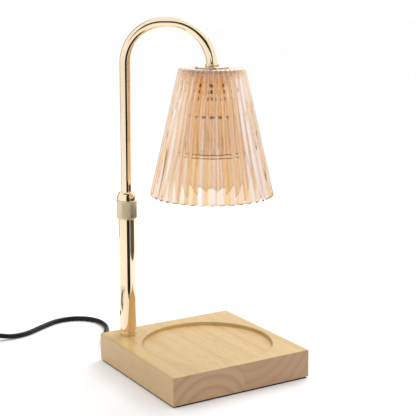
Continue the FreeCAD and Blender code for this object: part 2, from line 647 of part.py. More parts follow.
def cord_piece(label, points):
    edges, radii = route_edges([V(*point) for point in points])
    length = sum(edge.Length for edge in edges)
    print("%s: length %.1f mm, tightest radius %.1f mm" % (label, length, min(radii)))
    return feature_of(label, swept(edges, size("cord_radius")))


def coil_spot(turned_by):
    """A place on the coil's line: in along the lower layer, out along the upper one."""
    turns, pitch, radius = size("coil_turns"), size("coil_pitch"), size("cord_radius")
    middle = turns / 2
    offset = abs(turned_by - middle)
    near = 0.25
    if offset < near:
        offset = (offset ** 2 / near + near) / 2
    reach = size("coil_radius") + pitch * (offset - turns / 4)
    share = min(1.0, max(0.0, (turned_by - middle) / 0.5 + 0.5))
    climb = pitch * share * share * (3 - 2 * share)
    angle = math.pi + 2 * math.pi * turned_by
    return V(size("coil_x") + reach * math.cos(angle), size("coil_y") + reach * math.sin(angle),
             radius + climb)


def coil_heading(turned_by):
    step = 1e-4
    turns = size("coil_turns")
    if turned_by < 0.01 or turned_by > turns - 0.01:
        return V(0, -1, 0)
    return (coil_spot(turned_by + step) - coil_spot(turned_by - step)).normalize()


def biarc(start, heading, end, facing):
    """Two arcs from start to end with the given directions at the ends."""
    gap = end - start
    both = heading + facing
    bent = 2 * (1 - heading.dot(facing))
    reach = (math.sqrt(gap.dot(both) ** 2 + bent * gap.dot(gap)) - gap.dot(both)) / bent
    joint = (start + heading * reach + end - facing * reach) * 0.5
    first = tangent_arc(start, heading, joint)
    return [first, tangent_arc(joint, first.tangentAt(first.LastParameter), end)]


def cord_coil():
    """The spare cord, wound in two flat layers; one unbroken tube."""
    steps = int(round(size("coil_turns") * 4))
    marks = [size("coil_turns") * n / steps for n in range(steps + 1)]
    edges = []
    for here, there in zip(marks, marks[1:]):
        edges += biarc(coil_spot(here), coil_heading(here), coil_spot(there), coil_heading(there))
    fine = [coil_spot(size("coil_turns") * n / 1600) for n in range(1601)]
    least = min((fine[i] - fine[j]).Length for i in range(0, 1601, 8) for j in range(i + 120, 1601))
    print("cord_coil: length %.1f mm, least gap to itself %.2f mm"
          % (sum(edge.Length for edge in edges), least - 2 * size("cord_radius")))
    return feature_of("cord_coil", swept(edges, size("cord_radius")))


def coil_tie():
    """The strap that holds the coil: a band round its whole section, on the +X side."""
    reach = size("coil_pitch") * (size("coil_turns") / 4 - 0.5) + size("cord_radius") + 0.4
    high = size("coil_pitch") + 2 * size("cord_radius") + 0.3
    thick, width = size("tie_thick"), size("tie_width")
    outer = Part.makeBox(2 * reach + 2 * thick, width, high + thick,
                         V(size("coil_radius") - reach - thick, -width / 2, 0))
    inner = Part.makeBox(2 * reach, width, high, V(size("coil_radius") - reach, -width / 2, 0))
    return feature_of("coil_tie", outer.cut(inner), size("coil_x"), size("coil_y"))


def dimmer():
    """The inline dimmer: two case halves, a dial on the upper one, a sleeve at each cable end."""
    half_long, half_wide = "(dimmer_length / 2)", "(dimmer_width / 2)"
    outline = [("-" + half_long, "-" + half_wide), (half_long, "-" + half_wide),
               (half_long, half_wide), ("-" + half_long, half_wide)]
    halves = (("dimmer_case", "0", "dimmer_case_height"),
              ("dimmer_lid", "dimmer_case_height", "dimmer_lid_height"))
    for label, low, high in halves:
        body = new_body(label)
        pad(body, polygon(new_sketch(body, "XY_Plane", label + "_outline"), outline), high)
        round_edges(body, label + "_corners", "dimmer_corner", upright)
        if label == "dimmer_lid":
            top = size("dimmer_lid_height")
            round_edges(body, "dimmer_lid_edge", "edge_radius * 2", lambda e: at_height(e, top))
            hole = new_sketch(body, "XY_Plane", "shaft_hole", high)
            circle(hole, "0", "0", "dial_shaft + fit_gap")
            pocket(body, hole, "dimmer_lid_height - 2")
        place(body, "dimmer_x", "dimmer_y", low)
        keep(body, label)
    shaft = "(dimmer_lid_height - 3)"
    dial = turned("dimmer_dial", [
        ("0", "0"), ("dial_shaft", "0"), ("dial_shaft", shaft + " + flat_gap"),
        ("dial_radius", shaft + " + flat_gap"), ("dial_radius", shaft + " + dial_height - 0.6"),
        ("dial_radius - 0.6", shaft + " + dial_height"), ("0", shaft + " + dial_height")])
    place(dial, "dimmer_x", "dimmer_y", "dimmer_case_height + 3")
    for name, side in (("dimmer_sleeve_in", 1), ("dimmer_sleeve_out", -1)):
        sleeve = turned(name, [("0", "0"), ("cord_radius + 1.6", "0"),
                               ("cord_radius + 0.6", "sleeve_length"), ("0", "sleeve_length")])
        place(sleeve, "dimmer_x + %d * dimmer_length / 2" % side, "dimmer_y",
              "dimmer_case_height - flat_gap - 1.8", "%d" % (90 * side), (0, 1, 0))


def plug():
    """The moulded plug with two flat blades, lying past the coil and pointing away from it."""
    body = new_body("plug_body")
    outline = new_sketch(body, "XZ_Plane", "plug_outline")
    half = "(plug_width / 2)"
    polygon(outline, [("-" + half, "0"), (half, "0"), (half, "plug_height"), ("-" + half, "plug_height")])
    pad(body, outline, "plug_length")
    round_edges(body, "plug_sides", "plug_height * 0.3",
                lambda e: abs(e.BoundBox.YLength - size("plug_length")) < 0.001)
    place(body, PLUG_X, PLUG_FACE_Y)
    keep(body, "plug_body")
    sleeve = turned("plug_sleeve", [("0", "0"), ("cord_radius + 2.6", "0"),
                                    ("cord_radius + 0.6", "plug_sleeve"), ("0", "plug_sleeve")])
    place(sleeve, PLUG_X, PLUG_FACE_Y, "plug_height / 2", "-90", (1, 0, 0))
    for name, side in (("plug_blade_left", -1), ("plug_blade_right", 1)):
        blade = doc.addObject("Part::Box", name)
        bind(blade, "Length", "blade_thick")
        bind(blade, "Width", "blade_length")
        bind(blade, "Height", "blade_width")
        place(blade, "%s + %d * blade_spacing / 2 - blade_thick / 2" % (PLUG_X, side),
              "%s - plug_length - blade_length" % PLUG_FACE_Y, "plug_height / 2 - blade_width / 2")
        keep(blade, name)


def cords():
    """The free stretches: base to dimmer, dimmer to coil, coil to plug, and the leads inside."""
    low = size("cord_radius")
    axis = size(CHANNEL_AXIS)
    x, y, back = size("post_x"), size("post_y"), size(HALF_SIDE)
    start = back + size("grommet_length")
    case_axis = size("dimmer_case_height - flat_gap - 1.8")
    reach = size("dimmer_length / 2 + sleeve_length")
    dimmer_x, dimmer_y = size("dimmer_x"), size("dimmer_y")
    cord_piece("cord_lead", [
        (x, start, axis), (x, start + 12, axis), (-36.5, start + 29, low + 0.4),
        (-25, 133, low), (-20.5, 151, low), (-24, 168, low), (-37.5, 180, low), (-56, 181.5, low),
        (-76, 171, low), (-96, 159, low), (dimmer_x + reach + 27, dimmer_y - 3, low + 0.2),
        (dimmer_x + reach + 12, dimmer_y, case_axis), (dimmer_x + reach, dimmer_y, case_axis)])
    coil_start, coil_end = coil_spot(0), coil_spot(size("coil_turns"))
    cord_piece("cord_mid", [
        (dimmer_x - reach, dimmer_y, case_axis), (dimmer_x - reach - 11, dimmer_y, case_axis),
        (coil_start.x + 3.6, dimmer_y - 6.5, low + 1.2), (coil_start.x - 1.4, dimmer_y - 19.5, low),
        (coil_start.x, coil_start.y + 19, low), tuple(coil_start)])
    plug_x, sleeve_end, plug_axis = size(PLUG_X), size(PLUG_FACE_Y + " + plug_sleeve"), size("plug_height / 2")
    cord_piece("cord_end", [
        tuple(coil_end), (coil_end.x, coil_end.y - 11, coil_end.z),
        (plug_x + 1.5, coil_end.y - 26, low + 0.6), (plug_x, sleeve_end + 12, plug_axis),
        (plug_x, sleeve_end, plug_axis)])
    inner = [V(x, back - size("grommet_barrel"), axis), V(x, y, axis), V(x, y, size(BOARD_TOP))]
    edges, radii = route_edges(inner)
    feature_of("base_wire", swept(edges, size("lead_radius")))


PLUG_X = "(coil_x - coil_radius - coil_pitch * coil_turns / 4 - 3)"
PLUG_FACE_Y = "(coil_y - 72)"

base_board()
base_pad()
post()
lock_ring()
collet()
arm_tube()
guide_bush()
glass_shade()
shade_fittings()
holder_cup()
socket_strap()
lamp_socket()
socket_screws()
bulb()
cord_grommet()
dimmer()
plug()
cords()
cord_coil()
coil_tie()
doc.recompute()

for thing in doc.Objects:
    faults = [state for state in thing.State if state in ("Invalid", "Error")]
    assert not faults, "%s is %s" % (thing.Name, faults)
for part in parts:
    assert not part.Shape.isNull() and part.Shape.isValid(), part.Label + " has no valid shape"
    assert len(part.Shape.Solids) == 1, part.Label + " is not one solid"
for part in parts:
    part.Shape.exportStep("parts/%s.step" % part.Label)
print("%d sub-parts written" % len(parts))
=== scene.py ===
import math

import bmesh
import bpy
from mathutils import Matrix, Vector


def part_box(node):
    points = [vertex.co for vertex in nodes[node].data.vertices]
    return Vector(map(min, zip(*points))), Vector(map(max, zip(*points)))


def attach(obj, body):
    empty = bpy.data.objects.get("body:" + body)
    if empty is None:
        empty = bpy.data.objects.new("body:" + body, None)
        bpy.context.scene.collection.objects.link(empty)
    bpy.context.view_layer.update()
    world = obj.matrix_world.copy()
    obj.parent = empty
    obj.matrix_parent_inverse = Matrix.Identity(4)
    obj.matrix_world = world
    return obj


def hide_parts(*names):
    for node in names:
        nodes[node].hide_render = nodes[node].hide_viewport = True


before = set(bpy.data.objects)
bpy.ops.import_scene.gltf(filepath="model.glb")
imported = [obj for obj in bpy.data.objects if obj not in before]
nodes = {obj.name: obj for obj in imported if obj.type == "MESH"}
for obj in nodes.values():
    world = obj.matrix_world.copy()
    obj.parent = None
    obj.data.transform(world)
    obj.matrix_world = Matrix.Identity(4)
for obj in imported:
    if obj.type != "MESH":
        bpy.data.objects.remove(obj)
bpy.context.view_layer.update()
MM = 0.001


# The camera of the photograph: its place and turn were worked out from the corners of the square
# base, taken as 130 mm wide. Its shift is the little that the picture's upright framing needs.
CAMERA_PLACE = (-0.45706, -0.76412, 0.32785)
CAMERA_AZIMUTH = math.radians(31.2)
CAMERA_DROP = math.radians(9.78)
CAMERA_LENS = 94.2
CAMERA_FILM = 36
CAMERA_SHIFT = -0.096
camera_data = bpy.data.cameras.new("camera")
camera_data.lens = CAMERA_LENS
camera_data.sensor_width = CAMERA_FILM
camera_data.shift_y = CAMERA_SHIFT
camera = bpy.data.objects.new("camera", camera_data)
camera.location = CAMERA_PLACE
camera.rotation_euler = (math.pi / 2 - CAMERA_DROP, 0, -CAMERA_AZIMUTH)
bpy.context.collection.objects.link(camera)
bpy.context.scene.camera = camera


# The studio: a pale floor, an even white surround, one large soft light and some dark cards
# that only reflections show, which give polished metal its black lines. None of it is the object.
GLASS_BOUNCES = 32
MIRROR_BOUNCES = 12
SURROUND_STRENGTH = 1.06
FLOOR_REACH = 6.0
PAPER_ROUGHNESS = 0.9
PAPER_TINT = (1.0, 0.93, 0.86)
KEY_LIGHT_PLACE = Vector((0.75, 0.35, 1.15))
KEY_LIGHT_TARGET = Vector((0, 0, 0.1))
KEY_LIGHT_SIZE = 0.7
KEY_LIGHT_WATTS = 7.0
POST = Vector((-45.3, 49.5, 0)) * MM
ARCH_MIDDLE = Vector((-20.0, 22.0, 0)) * MM
ARCH_END = Vector((6.1, -5.8, 0)) * MM

bpy.context.scene.view_settings.view_transform = "Standard"
bpy.context.scene.cycles.max_bounces = GLASS_BOUNCES
bpy.context.scene.cycles.transmission_bounces = GLASS_BOUNCES
bpy.context.scene.cycles.glossy_bounces = MIRROR_BOUNCES
world = bpy.data.worlds.new("studio")
world.use_nodes = True
world.node_tree.nodes["Background"].inputs["Color"].default_value = (1.0, 1.0, 1.0, 1)
world.node_tree.nodes["Background"].inputs["Strength"].default_value = SURROUND_STRENGTH
bpy.context.scene.world = world


def shader_parts(name):
    """A new material with its node tree and its Principled shader."""
    material = bpy.data.materials.new(name)
    material.use_nodes = True
    tree = material.node_tree
    return material, tree, tree.nodes["Principled BSDF"]


def plain_material(name, colour, roughness, metallic=0.0):
    material, _, shader = shader_parts(name)
    shader.inputs["Base Color"].default_value = (*colour, 1)
    shader.inputs["Roughness"].default_value = roughness
    shader.inputs["Metallic"].default_value = metallic
    return material


def show(mesh_maker, name, material, body=None, cad=(), smooth=None, weigh=False):
    """Turns a bmesh into a finished object that rides on a body and stands for CAD nodes."""
    mesh = bpy.data.meshes.new(name)
    mesh_maker.to_mesh(mesh)
    mesh_maker.free()
    mesh.materials.append(material)
    piece = bpy.data.objects.new(name, mesh)
    bpy.context.collection.objects.link(piece)
    if smooth is not None:
        mesh.shade_smooth()
        mesh.set_sharp_from_angle(angle=math.radians(smooth))
    if weigh:
        weighting = piece.modifiers.new("flat_faces_stay_flat", "WEIGHTED_NORMAL")
        weighting.keep_sharp = True
    if body:
        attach(piece, body)
    if cad:
        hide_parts(*cad)
    return piece


floor_mesh = bmesh.new()
bmesh.ops.create_grid(floor_mesh, x_segments=1, y_segments=1, size=FLOOR_REACH)
floor_look = plain_material("floor_paper", (0.93, 0.93, 0.93), PAPER_ROUGHNESS)
show(floor_mesh, "floor", floor_look)

light_data = bpy.data.lights.new("key_light", "AREA")
light_data.size = KEY_LIGHT_SIZE
light_data.energy = KEY_LIGHT_WATTS
key_light = bpy.data.objects.new("key_light", light_data)
key_light.location = KEY_LIGHT_PLACE
key_light.rotation_euler = (KEY_LIGHT_TARGET - KEY_LIGHT_PLACE).to_track_quat("-Z", "Y").to_euler()
bpy.context.collection.objects.link(key_light)
key_light.visible_camera = False


def card(name, shade, centre, bearing, distance, width, low, high, point=0.0):
    """An upright card at a bearing to the right of the camera, as seen from centre.

    It stands from low to high, and its lower edge dips in the middle by the measure of point.
    """
    azimuth = CAMERA_AZIMUTH - math.radians(bearing)
    away = Vector((-math.sin(azimuth), -math.cos(azimuth), 0))
    along = Vector((away.y, -away.x, 0)) * (width / 2)
    card_mesh = bmesh.new()
    middle = centre + away * distance
    corners = [middle - along + Vector((0, 0, low + point)), middle + Vector((0, 0, low)),
               middle + along + Vector((0, 0, low + point)), middle + along + Vector((0, 0, high)),
               middle - along + Vector((0, 0, high))]
    card_mesh.faces.new([card_mesh.verts.new(corner) for corner in corners])
    look = plain_material(name + "_paper", [shade * part for part in PAPER_TINT], PAPER_ROUGHNESS)
    paper = show(card_mesh, name, look)
    paper.visible_camera = False
    paper.visible_diffuse = False
    paper.visible_shadow = False
    paper.visible_transmission = False


card("card_before_post", 0.006, POST, 21, 0.15, 0.115, 0.001, 0.26, point=0.013)
card("card_before_arch", 0.02, ARCH_MIDDLE, -10, 0.16, 0.34, 0.29, 0.40)
card("card_before_arch_end", 0.03, ARCH_END, 16, 0.13, 0.047, 0.258, 0.341)
card("card_at_right", 0.09, POST, 82, 0.26, 0.36, 0.028, 0.26)
card("card_behind_left", 0.30, POST, -150, 0.5, 0.45, 0.0, 0.7)


# The cord: black, round and thin, moulded into its strain relief at the back of the base. One
# stretch runs to the inline dimmer; the next is wound into the spare coil and ends in the plug.
CORD_WIDTH = 4.5 * MM
CORD_REST = CORD_WIDTH / 2
GROMMET_TIP = Vector((-45.3, 87.0, 5.0)) * MM
DIMMER_CENTRE = Vector((-176.0, 160.5, 0)) * MM
DIMMER_REACH = 37.0 * MM
DIMMER_AXIS_HEIGHT = 6.0 * MM
COIL_CENTRE = Vector((-202.0, 104.0, 0)) * MM
COIL_RADIUS = 27.0 * MM
COIL_PITCH = 5.06 * MM
COIL_TURNS = 8
COIL_POINTS_A_TURN = 16
PLUG_SLEEVE_END = Vector((-242.12, 48.0, 7.0)) * MM
MERGE_DISTANCE = 0.01 * MM


def add_bump(tree, shader, height, strength, distance):
    """Fine relief on a material, with height as a grey value."""
    bump = tree.nodes.new("ShaderNodeBump")
    bump.inputs["Strength"].default_value = strength
    bump.inputs["Distance"].default_value = distance
    tree.links.new(height, bump.inputs["Height"])
    tree.links.new(bump.outputs["Normal"], shader.inputs["Normal"])


cord_look, cord_tree, cord_shader = shader_parts("black_cord_sheath")
cord_shader.inputs["Base Color"].default_value = (0.004, 0.004, 0.0042, 1)
cord_shader.inputs["Roughness"].default_value = 0.36
cord_shader.inputs["Specular IOR Level"].default_value = 0.22
cord_grain = cord_tree.nodes.new("ShaderNodeTexNoise")
cord_grain.inputs["Scale"].default_value = 900
cord_place = cord_tree.nodes.new("ShaderNodeTexCoord")
cord_tree.links.new(cord_place.outputs["Object"], cord_grain.inputs["Vector"])
add_bump(cord_tree, cord_shader, cord_grain.outputs["Fac"], 0.06, 0.2 * MM)


def lay_cord(name, points, cad):
    """A smooth spline with the route's points as its control points."""
    line = bpy.data.curves.new(name, "CURVE")
    line.dimensions = "3D"
    line.bevel_depth = CORD_WIDTH / 2
    line.bevel_resolution = 4
    line.resolution_u = 6
    line.use_fill_caps = True
    spline = line.splines.new("NURBS")
    spline.points.add(len(points) - 1)
    for spot, point in zip(spline.points, points):
        spot.co = (*point, 1)
    spline.order_u = 3
    spline.use_endpoint_u = True
    line.materials.append(cord_look)
    cord = bpy.data.objects.new(name, line)
    bpy.context.collection.objects.link(cord)
    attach(cord, "root")
    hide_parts(*cad)
    return cord


def coil_point(turned):
    """A place on the coil's line: in along the lower layer, out along the upper one."""
    offset = abs(turned - COIL_TURNS / 2)
    reach = COIL_RADIUS + COIL_PITCH * (offset - COIL_TURNS / 4)
    share = min(1.0, max(0.0, (turned - COIL_TURNS / 2) / 0.5 + 0.5))
    climb = COIL_PITCH * share * share * (3 - 2 * share)
    angle = math.pi + 2 * math.pi * turned
    return COIL_CENTRE + Vector((reach * math.cos(angle), reach * math.sin(angle), CORD_REST + climb))


dimmer_in = DIMMER_CENTRE + Vector((DIMMER_REACH, 0, DIMMER_AXIS_HEIGHT))
lead_points = [
    GROMMET_TIP, GROMMET_TIP + Vector((0, 12, 0)) * MM, Vector((-36.5, 116, 2.65)) * MM,
    Vector((-25, 133, 2.25)) * MM, Vector((-20.5, 151, 2.25)) * MM, Vector((-24, 168, 2.25)) * MM,
    Vector((-37.5, 180, 2.25)) * MM, Vector((-56, 181.5, 2.25)) * MM, Vector((-76, 171, 2.25)) * MM,
    Vector((-96, 159, 2.25)) * MM, dimmer_in + Vector((27, -3, -3.55)) * MM,
    dimmer_in + Vector((12, 0, 0)) * MM, dimmer_in,
]
lead = lay_cord("cord_to_dimmer", lead_points, ["cord_lead"])

dimmer_out = DIMMER_CENTRE + Vector((-DIMMER_REACH, 0, DIMMER_AXIS_HEIGHT))
coil_in, coil_out = coil_point(0), coil_point(COIL_TURNS)
to_coil = [
    dimmer_out, dimmer_out + Vector((-11, 0, 0)) * MM,
    Vector((coil_in.x + 3.6 * MM, DIMMER_CENTRE.y - 6.5 * MM, 3.45 * MM)),
    Vector((coil_in.x - 1.4 * MM, DIMMER_CENTRE.y - 19.5 * MM, CORD_REST)),
    Vector((coil_in.x, coil_in.y + 19 * MM, CORD_REST)),
]
coil_steps = COIL_TURNS * COIL_POINTS_A_TURN
turns = [coil_point(step / COIL_POINTS_A_TURN) for step in range(coil_steps + 1)]
to_plug = [
    coil_out + Vector((0, -11, 0)) * MM,
    Vector((PLUG_SLEEVE_END.x + 1.5 * MM, coil_out.y - 26 * MM, 2.85 * MM)),
    PLUG_SLEEVE_END + Vector((0, 12, 0)) * MM, PLUG_SLEEVE_END,
]
tail = lay_cord("cord_to_plug", to_coil + turns + to_plug, ["cord_mid", "cord_coil", "cord_end"])


def merged_mesh(node):
    """The mesh of a CAD node with its seams closed."""
    merged = bmesh.new()
    merged.from_mesh(nodes[node].data)
    bmesh.ops.remove_doubles(merged, verts=merged.verts, dist=MERGE_DISTANCE)
    return merged


def smooth_copy(node, material, body, angle=32):
    """A merged, smooth copy of a CAD node, which stands for it."""
    return show(merged_mesh(node), node + "_shown", material, body, [node], smooth=angle, weigh=True)


def smooth_copies(names, material, body):
    return [smooth_copy(name, material, body) for name in names]


strain_relief = smooth_copy("cord_grommet", cord_look, "root")
sleeves = smooth_copies(("dimmer_sleeve_in", "dimmer_sleeve_out"), cord_look, "root")
plug_pieces = smooth_copies(("plug_body", "plug_sleeve"), cord_look, "root")


# The base: two rubberwood boards glued edge to edge and varnished, with a turned recess. The
# grain runs front to back, so the front and back faces are end grain. Black foam lies under it.
BOARD_HALF = 65 * MM
CAD_CORNER = 3 * MM
CORNER = 1.2 * MM
RECESS_CENTRE = Vector((2.6, -3.8, 0)) * MM
RECESS_RADIUS = 55.4 * MM
RIM_ROUND = 0.6 * MM
PAD_SPREAD = 1.025
GLUE_LINE = 0.6 * MM
SEAM_HALF = 0.16 * MM
LEFT_PITH = (-30 * MM, -24 * MM)
RIGHT_PITH = (8 * MM, 52 * MM)
RING_WIDTH = 8.8 * MM
RING_WANDER = 16 * MM
RING_UNEVEN = 2 * MM
END_GRAIN_DEPTH = 1.3 * MM
LIGHT_WOOD = (0.745, 0.525, 0.195)
DEEP_WOOD = (0.45, 0.255, 0.07)
PALE_STREAK = (0.74, 0.545, 0.225)
FIBRE_BROWN = (0.55, 0.345, 0.15)
CLOUD_BROWN = (0.58, 0.375, 0.16)
PORE_BROWN = (0.36, 0.19, 0.08)
END_LIGHT = (0.49, 0.30, 0.155)
END_DARK = (0.24, 0.115, 0.05)
END_SPECK = (0.50, 0.35, 0.22)
RIGHT_END = (0.33, 0.19, 0.11)
# Painted shade for the board's side faces.
SIDE_FACE_SHADE = (0.44, 0.285, 0.155)
SEAM_BROWN = (0.36, 0.20, 0.10)


def math_node(tree, operation, first, second=None, third=None):
    node = tree.nodes.new("ShaderNodeMath")
    node.operation = operation
    for socket, value in zip(node.inputs, (first, second, third)):
        if value is None:
            continue
        if isinstance(value, (int, float)):
            socket.default_value = value
        else:
            tree.links.new(value, socket)
    return node.outputs[0]


def grey_ramp(tree, driver, *stops):
    """A ramp of greys read by driver; each stop is a pair of place and grey."""
    ramp = tree.nodes.new("ShaderNodeValToRGB")
    while len(ramp.color_ramp.elements) < len(stops):
        ramp.color_ramp.elements.new(0.5)
    for element, (place, grey) in zip(ramp.color_ramp.elements, stops):
        element.position = place
        element.color = (grey, grey, grey, 1)
    tree.links.new(driver, ramp.inputs["Fac"])
    return ramp.outputs["Color"]


def mix_node(tree, share, first, second):
    """Blends two colours; for colours the node's sockets are the ones numbered 0, 6 and 7."""
    mix = tree.nodes.new("ShaderNodeMix")
    mix.data_type = "RGBA"
    for socket, value in ((mix.inputs[0], share), (mix.inputs[6], first), (mix.inputs[7], second)):
        if isinstance(value, tuple):
            socket.default_value = (*value, 1)
        else:
            tree.links.new(value, socket)
    return mix.outputs[2]


def tint_node(tree, tone, colour, driver, share):
    """The tone turned towards colour by share, where driver is full."""
    return mix_node(tree, math_node(tree, "MULTIPLY", driver, share), tone, colour)


def split_node(tree, vector):
    split = tree.nodes.new("ShaderNodeSeparateXYZ")
    tree.links.new(vector, split.inputs[0])
    return split.outputs


def noise_node(tree, vector, scale, detail=3.0, stretch=(1, 1, 1), place=(0, 0, 0)):
    mapping = tree.nodes.new("ShaderNodeMapping")
    mapping.inputs["Scale"].default_value = stretch
    mapping.inputs["Location"].default_value = place
    tree.links.new(vector, mapping.inputs["Vector"])
    noise = tree.nodes.new("ShaderNodeTexNoise")
    noise.inputs["Scale"].default_value = scale
    noise.inputs["Detail"].default_value = detail
    tree.links.new(mapping.outputs["Vector"], noise.inputs["Vector"])
    return noise.outputs["Fac"]


def wood_material():
    material, tree, shader = shader_parts("varnished_rubberwood")
    where = tree.nodes.new("ShaderNodeTexCoord")
    place = where.outputs["Object"]
    x, y, z = split_node(tree, place)
    right_board = math_node(tree, "GREATER_THAN", x, GLUE_LINE)
    wander = noise_node(tree, place, 14.0, 2.0, (1.0, 0.22, 1.0))
    wander = math_node(tree, "MULTIPLY_ADD", wander, RING_WANDER, -RING_WANDER / 2)
    distances = []
    for pith_x, pith_z in (LEFT_PITH, RIGHT_PITH):
        across = math_node(tree, "ADD", math_node(tree, "SUBTRACT", x, pith_x), wander)
        upward = math_node(tree, "ADD", math_node(tree, "SUBTRACT", z, pith_z), wander)
        square = math_node(tree, "ADD", math_node(tree, "MULTIPLY", across, across),
                           math_node(tree, "MULTIPLY", upward, upward))
        distances.append(math_node(tree, "SQRT", square))
    switched = math_node(tree, "MULTIPLY", right_board,
                         math_node(tree, "SUBTRACT", distances[1], distances[0]))
    ring = math_node(tree, "ADD", distances[0], switched)
    uneven = noise_node(tree, place, 60.0, 2.0, (1.0, 0.05, 1.0))
    ring = math_node(tree, "ADD", ring, math_node(tree, "MULTIPLY", uneven, RING_UNEVEN))
    phase = math_node(tree, "FRACT", math_node(tree, "DIVIDE", ring, RING_WIDTH))
    long_band = grey_ramp(tree, phase, (0.0, 0.42), (0.14, 0.66), (0.55, 0.58), (1.0, 0.40))
    end_band = grey_ramp(tree, phase, (0.0, 0.30), (0.22, 0.64), (0.60, 0.58), (1.0, 0.28))
    fibre = noise_node(tree, place, 420.0, 4.0, (1.0, 0.03, 1.0))
    streaks = noise_node(tree, place, 150.0, 5.0, (1.0, 0.035, 1.0), (2, 7, 1))
    streaks = grey_ramp(tree, streaks, (0.0, 0), (0.36, 0), (0.64, 1))
    pores = noise_node(tree, place, 1100.0, 2.0, (1.0, 0.06, 1.0), (3, 1, 2))
    pores = grey_ramp(tree, pores, (0.0, 0), (0.58, 0), (0.68, 1))
    cloud = noise_node(tree, place, 22.0, 2.0, (1.0, 0.3, 1.0), (5, 3, 1))
    tone = mix_node(tree, long_band, DEEP_WOOD, LIGHT_WOOD)
    for driver, share, colour in ((streaks, 0.42, PALE_STREAK), (fibre, 0.30, FIBRE_BROWN),
                                  (cloud, 0.28, CLOUD_BROWN), (pores, 0.42, PORE_BROWN)):
        tone = tint_node(tree, tone, colour, driver, share)

    facing = split_node(tree, where.outputs["Normal"])
    depth = math_node(tree, "ABSOLUTE", y)
    outer_face = math_node(tree, "GREATER_THAN", depth, BOARD_HALF - END_GRAIN_DEPTH)
    end_grain = math_node(tree, "MULTIPLY", math_node(tree, "ABSOLUTE", facing["Y"]), outer_face)
    end_tone = mix_node(tree, end_band, END_DARK, END_LIGHT)
    end_tone = tint_node(tree, end_tone, END_SPECK, noise_node(tree, place, 700.0, 3.0), 0.30)
    end_tone = tint_node(tree, end_tone, RIGHT_END, right_board, 0.35)
    # Painted shade: faces turned to either side, the recess's wall included, are darkened by how far they
    # turn.
    tone = tint_node(tree, tone, SIDE_FACE_SHADE, math_node(tree, "ABSOLUTE", facing["X"]), 0.55)
    tone = mix_node(tree, end_grain, tone, end_tone)
    from_seam = math_node(tree, "ABSOLUTE", math_node(tree, "SUBTRACT", x, GLUE_LINE))
    seam = math_node(tree, "LESS_THAN", from_seam, SEAM_HALF)
    tone = tint_node(tree, tone, SEAM_BROWN, seam, 0.35)
    tree.links.new(tone, shader.inputs["Base Color"])
    shader.inputs["Roughness"].default_value = 0.42
    shader.inputs["Coat Weight"].default_value = 0.25
    shader.inputs["Coat Roughness"].default_value = 0.25
    add_bump(tree, shader, fibre, 0.12, 0.3 * MM)
    return material


wood_look = wood_material()


def eased_board():
    """The board with crisp corners and the recess's sharp rim sanded to a small round."""
    board = merged_mesh("base_board")
    bmesh.ops.dissolve_limit(board, angle_limit=math.radians(0.5), verts=board.verts, edges=board.edges)
    top = max(vert.co.z for vert in board.verts)
    shift = CAD_CORNER - CORNER
    for vert in board.verts:
        middle = Vector((math.copysign(BOARD_HALF - CAD_CORNER, vert.co.x),
                         math.copysign(BOARD_HALF - CAD_CORNER, vert.co.y)))
        out = Vector((vert.co.x, vert.co.y)) - middle
        if out.x * vert.co.x > -1e-9 and out.y * vert.co.y > -1e-9 and out.length > 1e-6:
            moved = out.normalized() * max(out.length - shift, 0)
            vert.co.x = middle.x + math.copysign(shift, vert.co.x) + moved.x
            vert.co.y = middle.y + math.copysign(shift, vert.co.y) + moved.y

    def on_rim(vert):
        reach = math.hypot(vert.co.x - RECESS_CENTRE.x, vert.co.y - RECESS_CENTRE.y)
        return abs(vert.co.z - top) < MERGE_DISTANCE and abs(reach - RECESS_RADIUS) < 0.2 * MM

    rim = [edge for edge in board.edges if on_rim(edge.verts[0]) and on_rim(edge.verts[1])]
    bmesh.ops.bevel(board, geom=rim, offset=RIM_ROUND, affect="EDGES", segments=3, profile=0.5, material=-1)
    show(board, "base_board_varnished", wood_look, "root", ["base_board"],
         smooth=40, weigh=True)


eased_board()

foam_look, foam_tree, foam_shader = shader_parts("black_foam")
foam_shader.inputs["Base Color"].default_value = (0.014, 0.013, 0.013, 1)
foam_shader.inputs["Roughness"].default_value = 0.9
foam_cells = foam_tree.nodes.new("ShaderNodeTexVoronoi")
foam_cells.inputs["Scale"].default_value = 1500
foam_place = foam_tree.nodes.new("ShaderNodeTexCoord")
foam_tree.links.new(foam_place.outputs["Object"], foam_cells.inputs["Vector"])
add_bump(foam_tree, foam_shader, foam_cells.outputs["Distance"], 1.0, 0.3 * MM)
pad_sheet = merged_mesh("base_pad")
bmesh.ops.scale(pad_sheet, vec=(PAD_SPREAD, PAD_SPREAD, 1), verts=pad_sheet.verts)
show(pad_sheet, "base_pad_shown", foam_look, "root", ["base_pad"], smooth=40, weigh=True)


# The post: drawn steel tube with a champagne gold plating, polished bright, on a turned foot ring
# that is drawn down by a hollow threaded rod and a nut under the board.
CHAMPAGNE = (0.94, 0.79, 0.58)
SATIN_CHAMPAGNE = (0.78, 0.66, 0.48)
DEEPER_GOLD = (0.94, 0.90, 0.86)
TURN_STEPS = 96
POST_RADIUS = 7.1 * MM
POST_BORE = 6.1 * MM
FOOT_BORE = 5.05 * MM
FOOT_LEDGE = 4.0 * MM
WELD_DISTANCE = 0.002 * MM


def gold_material(name, roughness, colour=CHAMPAGNE):
    material, tree, shader = shader_parts(name)
    where = tree.nodes.new("ShaderNodeTexCoord")
    cloud = noise_node(tree, where.outputs["Object"], 30.0, 3.0)
    deeper = tuple(part * depth for part, depth in zip(colour, DEEPER_GOLD))
    tone = mix_node(tree, cloud, deeper, colour)
    tree.links.new(tone, shader.inputs["Base Color"])
    shader.inputs["Metallic"].default_value = 1.0
    smudge = noise_node(tree, where.outputs["Object"], 90.0, 4.0)
    tree.links.new(math_node(tree, "MULTIPLY_ADD", smudge, 0.06, roughness), shader.inputs["Roughness"])
    return material


